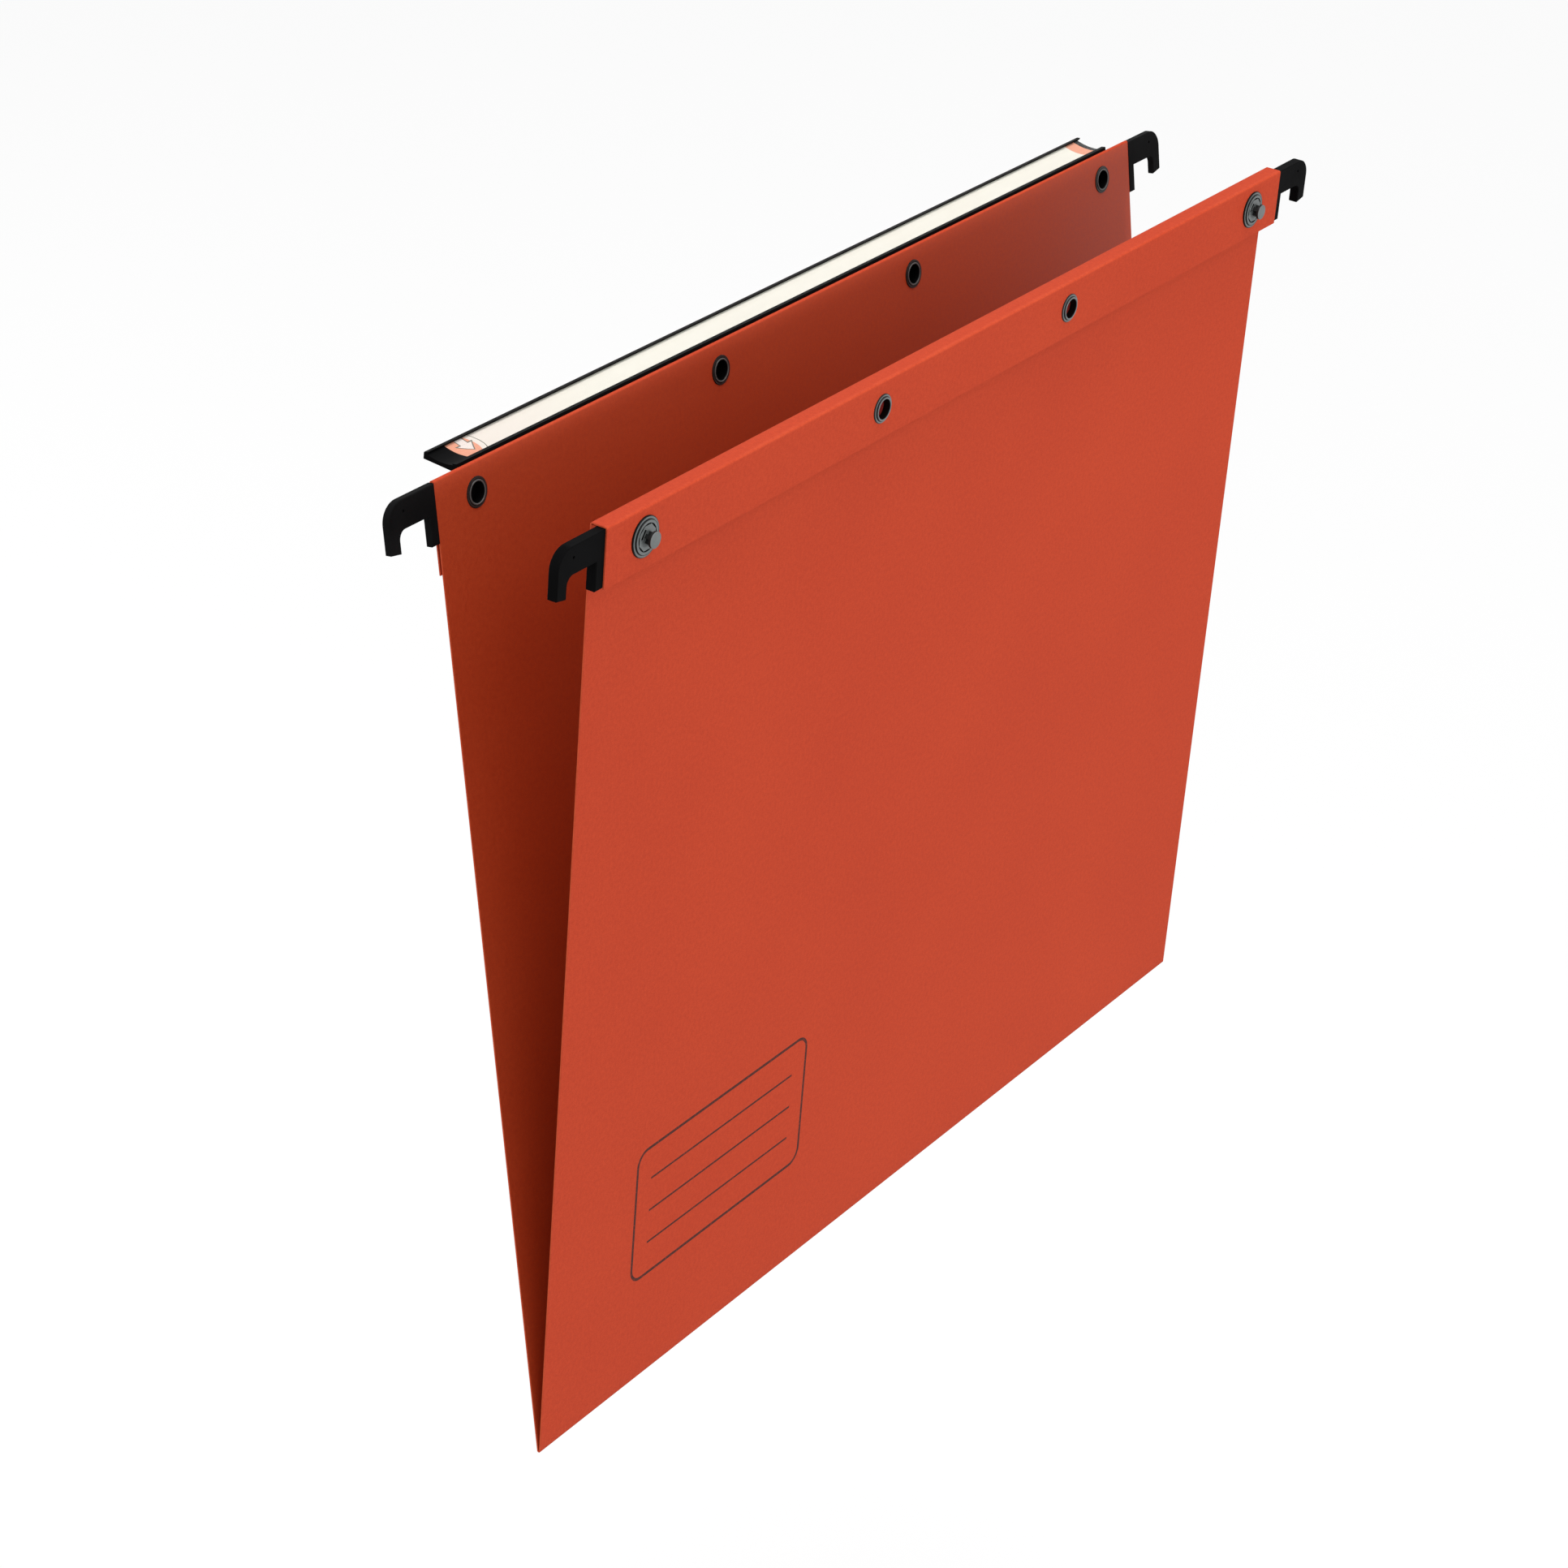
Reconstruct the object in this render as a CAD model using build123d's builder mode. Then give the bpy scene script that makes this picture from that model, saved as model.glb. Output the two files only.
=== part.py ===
"""Hanging file folder: a folded card sheet on two hanger bars with hooks, fasteners and a label holder.

Millimetres. X runs along the bars, -Y is the front leaf, +Z is up. The origin lies midway between the
hooks, at the height of the notch seats that rest on the drawer's rails.
"""
import os
from math import cos, radians, sin

from build123d import *

# Card sheet
sheet_width = 310.0
leaf_height = 250.0
card_thickness = 0.35
leaf_tilt = 4.92
fold_radius = 0.35
crease_half_gap = 0.10
crease_relief = 0.35
front_flap_height = 15.0
rear_flap_height = 22.5

# Hanger bars and the stiffener behind the front bar
stiffener_thickness = 1.25
filler_clearance = 0.05
filler_end_gap = 1.0
bar_height = 13.6
bar_top_gap = 0.25
front_bar_depth = 2.65
front_bar_wall = 0.5
front_bar_edge_radius = 0.8
rear_bar_thickness = 0.5

# Hooks
hook_reach = 17.0
hook_leg_width = 2.8
hook_tip_width = 3.6
hook_top_drop = 0.45
seat_depth = 7.45
leg_depth = 14.7
tip_depth = 12.75
tip_bevel = 0.65
hook_corner_radius = 5.0
notch_radius = 2.2
hook_edge_chamfer = 0.2
pin_mark_reach = 11.45
pin_mark_drop = 3.2
pin_mark_radius = 0.35
pin_mark_depth = 0.4
front_hook_entry = 2.4
front_shank_length = 24.0
shank_clearance = 0.05
rear_hook_thickness = 1.9
rear_hook_inner_cover = 0.5
tongue_drop = 1.25
tongue_height = 4.5
tongue_length = 13.0
tongue_clearance = 0.03

# Eyelets and press studs
front_fastener_depth = 7.1
rear_fastener_depth = 7.2
outer_fastener_inset = 14.65
inner_fastener_spacing = 87.2
eyelet_bore_radius = 2.5
eyelet_wall = 0.3
eyelet_flange_radius = 3.7
eyelet_flange_thickness = 0.25
eyelet_curl_width = 0.5
front_curl_height = 0.4
rear_curl_height = 0.2
eyelet_cap_thickness = 0.25
washer_radius = 3.7
front_washer_thickness = 0.35
rear_washer_thickness = 0.2
fastener_clearance = 0.05
stud_flange_radius = 5.0
stud_flange_thickness = 0.45
stud_flange_edge_radius = 0.2
stud_plate_radius = 4.2
stud_plate_height = 0.8
stud_groove_radius = 3.45
stud_groove_width = 0.2
stud_groove_depth = 0.3
stud_slot_length = 2.6
stud_slot_width = 0.75
stud_slot_depth = 0.35
stud_slot_offset = 1.85
stud_slot_turn = 55.0
stud_neck_width = 2.9
stud_neck_web = 1.0
stud_head_radius = 2.0
stud_head_thickness = 0.7
stud_head_edge_radius = 0.12
stud_height = 3.05
rivet_radius = 1.8
rivet_flange_radius = 4.0
rivet_flange_thickness = 0.5
rivet_grip_in_stud = 0.3

# Label holder, its lens, paper label and end stop
holder_end_inset = 10.0
skirt_height = 13.5
skirt_thickness = 1.2
lip_height = 0.65
lip_depth = 1.2
lip_overhang = 0.4
trough_depth = 0.2
trough_flat = 1.6
trough_radius = 14.5
trough_sweep = 28.0
trough_opening = 2.0
underside_drop = 1.25
rim_reach = 9.1
rim_lean = 0.35
rim_height = 2.55
rim_width = 1.1
rim_foot = 0.85
rim_corner_radius = 0.25
rim_start = 0.05
rim_grip = 0.35
label_thickness = 0.15
lens_thickness = 0.25
label_clearance = 0.05
stop_length = 6.35
label_end_setback = 2.5
lens_end_setback = 0.5

half_width = sheet_width / 2
front_pocket_depth = 2 * card_thickness + stiffener_thickness + front_bar_depth
rear_pocket_depth = 2 * card_thickness + rear_bar_thickness
skirt_back = rear_pocket_depth + skirt_thickness
holder_length = sheet_width - 2 * holder_end_inset
bar_top = leaf_height - card_thickness - bar_top_gap
bar_middle = bar_top - bar_height / 2
eyelet_radius = eyelet_bore_radius + eyelet_wall
eyelet_hole_radius = eyelet_radius + fastener_clearance
rivet_hole_radius = rivet_radius + fastener_clearance
outer_fastener_x = half_width - outer_fastener_inset
inner_fastener_x = inner_fastener_spacing / 2
front_fastener_height = leaf_height - front_fastener_depth
rear_fastener_height = leaf_height - rear_fastener_depth
crease_height = -(leaf_height - seat_depth) * cos(radians(leaf_tilt))

# Leaf planes: x along the bar, y up the leaf, z out of the folder, z = 0 on the leaf's inner face
tilt_out = cos(radians(leaf_tilt))
tilt_down = -sin(radians(leaf_tilt))
crease = (0, 0, crease_height)
front = Plane(crease, x_dir=(1, 0, 0), z_dir=(0, -tilt_out, tilt_down)).offset(crease_half_gap)
rear = Plane(crease, x_dir=(-1, 0, 0), z_dir=(0, tilt_out, tilt_down)).offset(crease_half_gap)


def section_of(leaf):
    """Plane across a leaf: x out of the folder, y up the leaf."""
    return Plane(origin=leaf.origin, x_dir=leaf.z_dir, z_dir=leaf.z_dir.cross(leaf.y_dir))


def turning_plane(leaf, x, height, depth, outward=1):
    """Plane for a round piece on a leaf: x along the bar, y along the piece's own axis."""
    axis_direction = leaf.z_dir * outward
    origin = leaf.from_local_coords(Vector(x, height, depth))
    return Plane(origin=origin, x_dir=leaf.x_dir, z_dir=leaf.x_dir.cross(axis_direction))


def finish(piece, name):
    """Label a finished piece and write it as its own file."""
    piece.part.label = name
    export_step(piece.part, f"parts/{name}.step")


os.makedirs("parts", exist_ok=True)


# Fastener rows, as distance from the middle, height up the leaf and hole radius
front_rivet_holes = [(outer_fastener_x, front_fastener_height, rivet_hole_radius)]
front_eyelet_holes = [(inner_fastener_x, front_fastener_height, eyelet_hole_radius)]
front_flap_holes = front_rivet_holes + front_eyelet_holes
rear_holes = [
    (outer_fastener_x, rear_fastener_height, eyelet_hole_radius),
    (inner_fastener_x, rear_fastener_height, eyelet_hole_radius),
]


def hole_rows(leaf, rows):
    """Circles of a leaf's fastener holes, drawn on its inner face."""
    with BuildSketch(leaf) as circles:
        for distance, height, radius in rows:
            with Locations((-distance, height), (distance, height)):
                Circle(radius)
    return circles.sketch


# Card leaves: the inner panel, the fold over the top and the flap outside the pocket
def folded_leaf(leaf, pocket_depth, flap_height, panel_rows, flap_rows):
    """One leaf of the sheet, from the bottom crease up to the end of its flap."""
    middle = card_thickness / 2
    with BuildPart() as piece:
        with BuildSketch(section_of(leaf)):
            with BuildLine():
                FilletPolyline(
                    (middle, crease_relief),
                    (middle, leaf_height - middle),
                    (pocket_depth - middle, leaf_height - middle),
                    (pocket_depth - middle, leaf_height - flap_height),
                    radius=fold_radius,
                )
            trace(line_width=card_thickness)
        extrude(amount=half_width, both=True)
        extrude(hole_rows(leaf, panel_rows), amount=2 * card_thickness, mode=Mode.SUBTRACT)
        flap_face = leaf.offset(pocket_depth)
        extrude(hole_rows(flap_face, flap_rows), amount=-2 * card_thickness, mode=Mode.SUBTRACT)
    return piece


front_leaf = folded_leaf(
    front, front_pocket_depth, front_flap_height, front_rivet_holes, front_flap_holes
)
finish(front_leaf, "front_leaf")
rear_leaf = folded_leaf(rear, rear_pocket_depth, rear_flap_height, rear_holes, rear_holes)
finish(rear_leaf, "rear_leaf")

# Front pocket: a steel channel with its web under the flap, and a stiffener that closes and fills the channel
front_bar_length = sheet_width - 2 * front_hook_entry
front_bar_start = card_thickness + stiffener_thickness
channel_depth = front_bar_depth - front_bar_wall
channel_height = bar_height - 2 * front_bar_wall
filler_length = front_bar_length - 2 * (front_shank_length + filler_end_gap)
filler_height = channel_height - 2 * filler_clearance
filler_depth = channel_depth - eyelet_flange_thickness - filler_clearance
with BuildPart() as front_stiffener:
    with BuildSketch(front.offset(card_thickness)):
        with Locations((0, bar_middle)):
            Rectangle(sheet_width, bar_height)
    extrude(amount=stiffener_thickness)
    with BuildSketch(front.offset(front_bar_start)):
        with Locations((0, bar_middle)):
            Rectangle(filler_length, filler_height)
    extrude(amount=filler_depth)
    extrude(hole_rows(front, front_rivet_holes), amount=front_pocket_depth, mode=Mode.SUBTRACT)
finish(front_stiffener, "front_stiffener")

with BuildPart() as front_bar:
    with BuildSketch(section_of(front)):
        with Locations((front_bar_start, bar_middle)):
            Rectangle(front_bar_depth, bar_height, align=(Align.MIN, Align.CENTER))
            fillet(vertices().group_by(Axis.X)[-1], radius=front_bar_edge_radius)
            Rectangle(
                channel_depth,
                channel_height,
                align=(Align.MIN, Align.CENTER),
                mode=Mode.SUBTRACT,
            )
    extrude(amount=front_bar_length / 2, both=True)
    extrude(hole_rows(front, front_flap_holes), amount=front_pocket_depth, mode=Mode.SUBTRACT)
finish(front_bar, "front_bar")

# Rear bar: a flat steel strip whose narrow tongues run on into the rear hooks
tongue_top = bar_top - tongue_drop
tongue_span = sheet_width + 2 * tongue_length
with BuildPart() as rear_bar:
    with BuildSketch(rear.offset(card_thickness)):
        with Locations((0, bar_middle)):
            Rectangle(sheet_width, bar_height)
        with Locations((0, tongue_top)):
            Rectangle(tongue_span, tongue_height, align=(Align.CENTER, Align.MAX))
    extrude(amount=rear_bar_thickness)
    extrude(hole_rows(rear, rear_holes), amount=rear_pocket_depth, mode=Mode.SUBTRACT)
finish(rear_bar, "rear_bar")


# Hooks: moulded plastic, with a notch that rides on the rail
def hook_outline(plane, side, start):
    """Face of a hook from its inner end at start to its tip, on the side that the sign gives."""
    tip_outer = half_width + hook_reach
    tip_inner = tip_outer - hook_tip_width
    leg_outer = half_width + hook_leg_width
    top = leaf_height - hook_top_drop
    seat = leaf_height - seat_depth
    with BuildSketch(plane) as outline:
        with BuildLine():
            FilletPolyline(
                (side * start, top),
                (side * tip_outer, top),
                (side * tip_outer, leaf_height - tip_depth + tip_bevel),
                (side * tip_inner, leaf_height - tip_depth),
                (side * tip_inner, seat),
                (side * leg_outer, seat),
                (side * leg_outer, leaf_height - leg_depth),
                (side * start, leaf_height - leg_depth),
                radius=[0, hook_corner_radius, 0, 0, notch_radius, 0, 0, 0],
                close=True,
            )
        make_face()
    return outline.sketch


def broad_edges(piece, leaf):
    """Edges round the two broad faces of a flat piece that lies along a leaf."""
    broad = piece.faces().filter_by(leaf).sort_by(Axis(leaf.origin, leaf.z_dir))
    return broad[0].outer_wire().edges() + broad[-1].outer_wire().edges()


def pin_mark(plane, side):
    """Small round dimple that the mould's ejector pin leaves on a hook's face."""
    with BuildSketch(plane) as mark:
        with Locations((side * (half_width + pin_mark_reach), leaf_height - pin_mark_drop)):
            Circle(pin_mark_radius)
    return mark.sketch


shank_height = channel_height - 2 * shank_clearance
shank_thickness = channel_depth - 2 * shank_clearance
shank_start = front_bar_start + shank_clearance
front_hook_start = half_width - front_hook_entry
front_hook_face = front.offset(front_bar_start + front_bar_depth)


def front_hook(side):
    """Hook whose shank plugs into the end of the channel and is pinned by the press stud's rivet."""
    with BuildPart() as piece:
        extrude(hook_outline(front.offset(front_bar_start), side, front_hook_start), amount=front_bar_depth)
        chamfer(broad_edges(piece, front), length=hook_edge_chamfer)
        with BuildSketch(front.offset(shank_start)):
            with Locations((side * (front_hook_start - front_shank_length / 2), bar_middle)):
                Rectangle(front_shank_length, shank_height)
        extrude(amount=shank_thickness)
        with BuildSketch(front):
            with Locations((side * outer_fastener_x, front_fastener_height)):
                Circle(rivet_hole_radius)
        extrude(amount=front_pocket_depth, mode=Mode.SUBTRACT)
        extrude(pin_mark(front_hook_face, side), amount=-pin_mark_depth, mode=Mode.SUBTRACT)
    return piece


rear_hook_start = card_thickness - rear_hook_inner_cover


def rear_hook(side):
    """Hook moulded over the tongue at the end of the rear strip."""
    slot_length = tongue_length + tongue_clearance
    slot_height = tongue_height + 2 * tongue_clearance
    with BuildPart() as piece:
        extrude(hook_outline(rear.offset(rear_hook_start), side, half_width), amount=rear_hook_thickness)
        chamfer(broad_edges(piece, rear), length=hook_edge_chamfer)
        with BuildSketch(rear.offset(card_thickness - tongue_clearance)):
            with Locations((side * (half_width + slot_length / 2), tongue_top - tongue_height / 2)):
                Rectangle(slot_length, slot_height)
        extrude(amount=rear_bar_thickness + 2 * tongue_clearance, mode=Mode.SUBTRACT)
        rear_hook_face = rear.offset(rear_hook_start)
        extrude(pin_mark(rear_hook_face, side), amount=pin_mark_depth, mode=Mode.SUBTRACT)
    return piece


finish(front_hook(-1), "front_left_hook")
finish(front_hook(1), "front_right_hook")
finish(rear_hook(1), "rear_left_hook")
finish(rear_hook(-1), "rear_right_hook")


# Eyelets: a flange on the hidden side, a barrel through the layers, and an end curled over a washer
def eyelet(turning, grip, curl_foot, curl_height, capped):
    """Crimped eyelet whose curled end stands on a washer over the turning plane's origin, capped or open behind."""
    curl_top = curl_foot + curl_height
    curl_edge = eyelet_bore_radius + eyelet_curl_width
    curl_crown = eyelet_bore_radius + eyelet_curl_width / 2
    flange_face = -grip
    flange_back = -grip - eyelet_flange_thickness
    with BuildPart() as piece:
        with BuildSketch(turning):
            with BuildLine():
                Line((eyelet_bore_radius, flange_back), (eyelet_bore_radius, curl_foot))
                ThreePointArc((eyelet_bore_radius, curl_foot), (curl_crown, curl_top), (curl_edge, curl_foot))
                Polyline(
                    (curl_edge, curl_foot),
                    (eyelet_radius, curl_foot),
                    (eyelet_radius, flange_face),
                    (eyelet_flange_radius, flange_face),
                )
                flange_edge = JernArc(
                    (eyelet_flange_radius, flange_face),
                    (0, -1),
                    eyelet_flange_thickness,
                    -90,
                )
                Line(flange_edge @ 1, (eyelet_bore_radius, flange_back))
            make_face()
            if capped:
                with Locations((0, flange_back)):
                    Rectangle(eyelet_bore_radius, eyelet_cap_thickness, align=(Align.MIN, Align.MIN))
        revolve(axis=Axis(turning.origin, turning.y_dir))
    return piece


def washer(turning, thickness):
    """Flat washer under the curled end of an eyelet, with its outer rim broken."""
    with BuildPart() as piece:
        with BuildSketch(turning):
            with Locations((eyelet_hole_radius, 0)):
                Rectangle(
                    washer_radius - eyelet_hole_radius,
                    thickness,
                    align=(Align.MIN, Align.MIN),
                )
            chamfer(vertices().group_by(Axis.X)[-1].sort_by(Axis.Y)[-1], length=thickness / 2)
        revolve(axis=Axis(turning.origin, turning.y_dir))
    return piece


front_eyelets = [("front_left", -inner_fastener_x), ("front_right", inner_fastener_x)]
for name, x in front_eyelets:
    turning = turning_plane(front, x, front_fastener_height, front_pocket_depth)
    front_grip = card_thickness + front_bar_wall
    piece = eyelet(turning, front_grip, front_washer_thickness, front_curl_height, False)
    finish(piece, f"{name}_eyelet")
    finish(washer(turning, front_washer_thickness), f"{name}_washer")

rear_eyelets = [
    ("rear_outer_left", outer_fastener_x),
    ("rear_inner_left", inner_fastener_x),
    ("rear_inner_right", -inner_fastener_x),
    ("rear_outer_right", -outer_fastener_x),
]
for name, x in rear_eyelets:
    turning = turning_plane(rear, x, rear_fastener_height, 0, outward=-1)
    piece = eyelet(turning, skirt_back, rear_washer_thickness, rear_curl_height, True)
    finish(piece, f"{name}_eyelet")
    finish(washer(turning, rear_washer_thickness), f"{name}_washer")


# Press studs: a stepped flange, a grooved octagonal plate with two slots, a four-web neck and a flat head
def press_stud(x):
    """Stud that stands on the front flap, with a blind hole for its rivet."""
    seat = turning_plane(front, x, front_fastener_height, front_pocket_depth)
    face = front.offset(front_pocket_depth)
    groove_floor = stud_plate_height - stud_groove_depth
    head_foot = stud_height - stud_head_thickness
    centre = (x, front_fastener_height)
    slot_across = stud_slot_offset * sin(radians(stud_slot_turn))
    slot_up = stud_slot_offset * cos(radians(stud_slot_turn))
    with BuildPart() as piece:
        with BuildSketch(seat):
            with BuildLine():
                FilletPolyline(
                    (0, 0),
                    (stud_flange_radius, 0),
                    (stud_flange_radius, stud_flange_thickness),
                    (stud_plate_radius, stud_flange_thickness),
                    (stud_plate_radius, stud_plate_height),
                    (stud_groove_radius, stud_plate_height),
                    (stud_groove_radius, groove_floor),
                    (0, groove_floor),
                    radius=[0, 0, stud_flange_edge_radius, 0, 0, 0, 0, 0],
                    close=True,
                )
            make_face()
        revolve(axis=Axis(seat.origin, seat.y_dir))
        with BuildSketch(face.offset(groove_floor)):
            with Locations(centre):
                RegularPolygon(stud_groove_radius - stud_groove_width, 8, rotation=22.5)
        extrude(amount=stud_groove_depth)
        with BuildSketch(face.offset(stud_plate_height)):
            with Locations(
                (x - slot_across, front_fastener_height + slot_up),
                (x + slot_across, front_fastener_height - slot_up),
            ):
                SlotOverall(stud_slot_length, stud_slot_width, rotation=stud_slot_turn)
        extrude(amount=-stud_slot_depth, mode=Mode.SUBTRACT)
        with BuildSketch(face.offset(groove_floor)):
            with Locations(centre):
                Rectangle(stud_neck_width, stud_neck_web, rotation=stud_slot_turn)
                Rectangle(stud_neck_web, stud_neck_width, rotation=stud_slot_turn)
        extrude(amount=head_foot - groove_floor)
        with BuildSketch(face.offset(head_foot)):
            with Locations(centre):
                Circle(stud_head_radius)
        extrude(amount=stud_head_thickness)
        head_face = piece.faces().sort_by(Axis(face.origin, face.z_dir))[-1]
        fillet(head_face.edges(), radius=stud_head_edge_radius)
        with BuildSketch(face):
            with Locations(centre):
                Circle(rivet_hole_radius)
        extrude(amount=rivet_grip_in_stud, mode=Mode.SUBTRACT)
    return piece


def stud_rivet(x):
    """Rivet from inside the folder, through the stack and into the stud."""
    turning = turning_plane(front, x, front_fastener_height, 0)
    shank_end = front_pocket_depth + rivet_grip_in_stud
    with BuildPart() as piece:
        with BuildSketch(turning):
            with BuildLine():
                Polyline(
                    (0, -rivet_flange_thickness),
                    (0, shank_end),
                    (rivet_radius, shank_end),
                    (rivet_radius, 0),
                    (rivet_flange_radius, 0),
                )
                JernArc(
                    (rivet_flange_radius, 0),
                    (0, -1),
                    rivet_flange_thickness,
                    -90,
                )
                Line(
                    (rivet_flange_radius - rivet_flange_thickness, -rivet_flange_thickness),
                    (0, -rivet_flange_thickness),
                )
            make_face()
        revolve(axis=Axis(turning.origin, turning.y_dir))
    return piece


for name, x in [("left", -outer_fastener_x), ("right", outer_fastener_x)]:
    finish(press_stud(x), f"{name}_press_stud")
    finish(stud_rivet(x), f"{name}_stud_rivet")

# Label holder: a skirt riveted behind the rear flap, a front lip and a trough that curls up to a rim
holder_corner = rear.from_local_coords(Vector(0, leaf_height, rear_pocket_depth))
holder_section = Plane(origin=holder_corner, x_dir=rear.z_dir, z_dir=rear.z_dir.cross(rear.y_dir))
holder_left = holder_section.offset(-holder_length / 2)
label_left = holder_left.offset(stop_length + label_clearance)
label_slot = label_thickness + lens_thickness + 3 * label_clearance
label_space = holder_length - stop_length - label_clearance
lip_root = lip_depth - lip_overhang
trough_exit = Vector(cos(radians(trough_sweep)), sin(radians(trough_sweep)))


def trough_line(height, start, run_out):
    """Line of the trough's section at a height over its floor: flat, then curling up, then straight."""
    level = height - trough_depth
    with BuildLine() as line:
        Line((start, level), (trough_flat, level))
        bend = JernArc((trough_flat, level), (1, 0), trough_radius - height, trough_sweep)
        Line(bend @ 1, (bend @ 1) + trough_exit * run_out)
    return line.line


def holder_outline():
    """Outer shape of the holder's section, before the trough is cut into it."""
    with BuildSketch() as outline:
        with BuildLine():
            Polyline(
                (0, lip_height),
                (lip_depth, lip_height),
                (rim_reach - rim_width, rim_height),
                (rim_reach, rim_height),
                (rim_reach + rim_lean, rim_foot),
                (skirt_thickness, -underside_drop),
                (skirt_thickness, -skirt_height),
                (0, -skirt_height),
                close=True,
            )
        make_face()
    return outline.sketch


with BuildPart() as label_holder:
    with BuildSketch(holder_section):
        add(holder_outline())
        opening_line = trough_line(trough_opening / 2, lip_depth, rim_start)
        trace(opening_line, line_width=trough_opening, mode=Mode.SUBTRACT)
        slot_line = trough_line(label_slot / 2, lip_root, rim_grip)
        trace(slot_line, line_width=label_slot, mode=Mode.SUBTRACT)
        fillet(vertices().group_by(Axis.Y)[-1], radius=rim_corner_radius)
    extrude(amount=holder_length / 2, both=True)
    extrude(hole_rows(rear, rear_holes), amount=skirt_back, mode=Mode.SUBTRACT)
finish(label_holder, "label_holder")

# Paper label on the trough's floor and the clear lens over it, both held under the lip and the rim
label_middle = label_clearance + label_thickness / 2
lens_middle = label_thickness + 2 * label_clearance + lens_thickness / 2
band_start = lip_root + label_clearance
band_run_out = rim_grip - label_clearance
with BuildPart() as label_strip:
    with BuildSketch(label_left):
        trace(trough_line(label_middle, band_start, band_run_out), line_width=label_thickness)
    extrude(amount=label_space - label_end_setback)
finish(label_strip, "label_strip")

with BuildPart() as label_lens:
    with BuildSketch(label_left):
        trace(trough_line(lens_middle, band_start, band_run_out), line_width=lens_thickness)
    extrude(amount=label_space - lens_end_setback)
finish(label_lens, "label_lens")

# End stop: fills the left end of the slot, so that the label only leaves by the right end
with BuildPart() as label_stop:
    with BuildSketch(holder_left):
        stop_line = trough_line(label_slot / 2, band_start, band_run_out)
        trace(stop_line, line_width=label_slot - 2 * label_clearance)
    extrude(amount=stop_length)
finish(label_stop, "label_stop")
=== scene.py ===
from functools import partial
from math import atan2, cos, pi, radians, sin

import bmesh
import bpy
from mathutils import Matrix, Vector


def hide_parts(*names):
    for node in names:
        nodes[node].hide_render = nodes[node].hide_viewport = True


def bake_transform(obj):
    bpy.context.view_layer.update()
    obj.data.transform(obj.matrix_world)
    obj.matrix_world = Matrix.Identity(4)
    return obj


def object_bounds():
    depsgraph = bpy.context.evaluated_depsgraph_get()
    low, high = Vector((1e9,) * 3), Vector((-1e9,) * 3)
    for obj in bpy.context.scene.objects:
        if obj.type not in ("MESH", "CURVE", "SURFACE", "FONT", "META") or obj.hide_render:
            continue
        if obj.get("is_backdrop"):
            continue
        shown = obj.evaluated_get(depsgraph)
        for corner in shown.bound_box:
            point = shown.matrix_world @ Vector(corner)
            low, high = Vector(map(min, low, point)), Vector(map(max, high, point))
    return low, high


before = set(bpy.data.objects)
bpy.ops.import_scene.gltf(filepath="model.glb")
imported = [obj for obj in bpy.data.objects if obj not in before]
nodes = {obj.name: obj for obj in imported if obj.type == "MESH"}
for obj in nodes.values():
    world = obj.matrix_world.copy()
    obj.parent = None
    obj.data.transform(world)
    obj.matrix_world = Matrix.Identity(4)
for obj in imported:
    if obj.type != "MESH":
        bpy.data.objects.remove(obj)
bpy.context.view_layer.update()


# Card sheet
# One sheet of through-dyed orange-red kraft card, die-cut flat, scored and folded into a V at the bottom.
# Each top edge is folded over a hanger bar and comes down outside as a flap, which the fasteners hold.
mm = 0.001
sheet_width = 310 * mm
leaf_height = 250 * mm
card_thickness = 0.35 * mm
leaf_lean = radians(4.92)
crease_gap = 0.10 * mm
seat_depth = 7.45 * mm
crease_height = -(leaf_height - seat_depth) * cos(leaf_lean)
fold_radius = 0.35 * mm
front_pocket_depth = 4.6 * mm
rear_pocket_depth = 1.2 * mm
front_flap = 15 * mm
rear_flap = 22.5 * mm
front_row = leaf_height - 7.1 * mm
rear_row = leaf_height - 7.2 * mm
outer_fastener_x = 140.35 * mm
inner_fastener_x = 43.6 * mm
eyelet_hole = 2.85 * mm
panel_shares = (0, 0.02, 0.1, 0.25, 0.4, 0.55, 0.7, 0.82, 0.9)
bend_steps = 6
crease_steps = 12
column_count = 24
hole_patch = 5 * mm
patch_margin = 0.05 * mm
patch_steps = 4
weld_digits = 7


def leaf_point(side, out, up):
    """Row-frame y and z of a point on a leaf; side is -1 for the front leaf and 1 for the rear."""
    y = side * (up * sin(leaf_lean) + (out + crease_gap) * cos(leaf_lean))
    z = crease_height + up * cos(leaf_lean) - (out + crease_gap) * sin(leaf_lean)
    return Vector((y, z))


def folded_edge(side, depth, flap):
    """Middle line of one leaf above the crease: panel, first bend, top, second bend, flap."""
    middle = card_thickness / 2
    bend_height = leaf_height - middle - fold_radius
    line = [(middle, leaf_height * share) for share in panel_shares]
    bends = [(middle + fold_radius, 180), (depth - middle - fold_radius, 90)]
    for centre, start in bends:
        for step in range(bend_steps + 1):
            turn = radians(start - 90 * step / bend_steps)
            line.append((centre + fold_radius * cos(turn), bend_height + fold_radius * sin(turn)))
    line.append((depth - middle, leaf_height - flap))
    return [leaf_point(side, out, up) for out, up in line]


def crease_line():
    """Middle line round the bottom crease, from the rear leaf's foot to the front leaf's."""
    radius = crease_gap + card_thickness / 2
    centre = Vector((0, crease_height))
    sweep = pi - 2 * leaf_lean
    turns = [-leaf_lean - sweep * step / crease_steps for step in range(1, crease_steps)]
    return [centre + radius * Vector((cos(turn), sin(turn))) for turn in turns]


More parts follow.
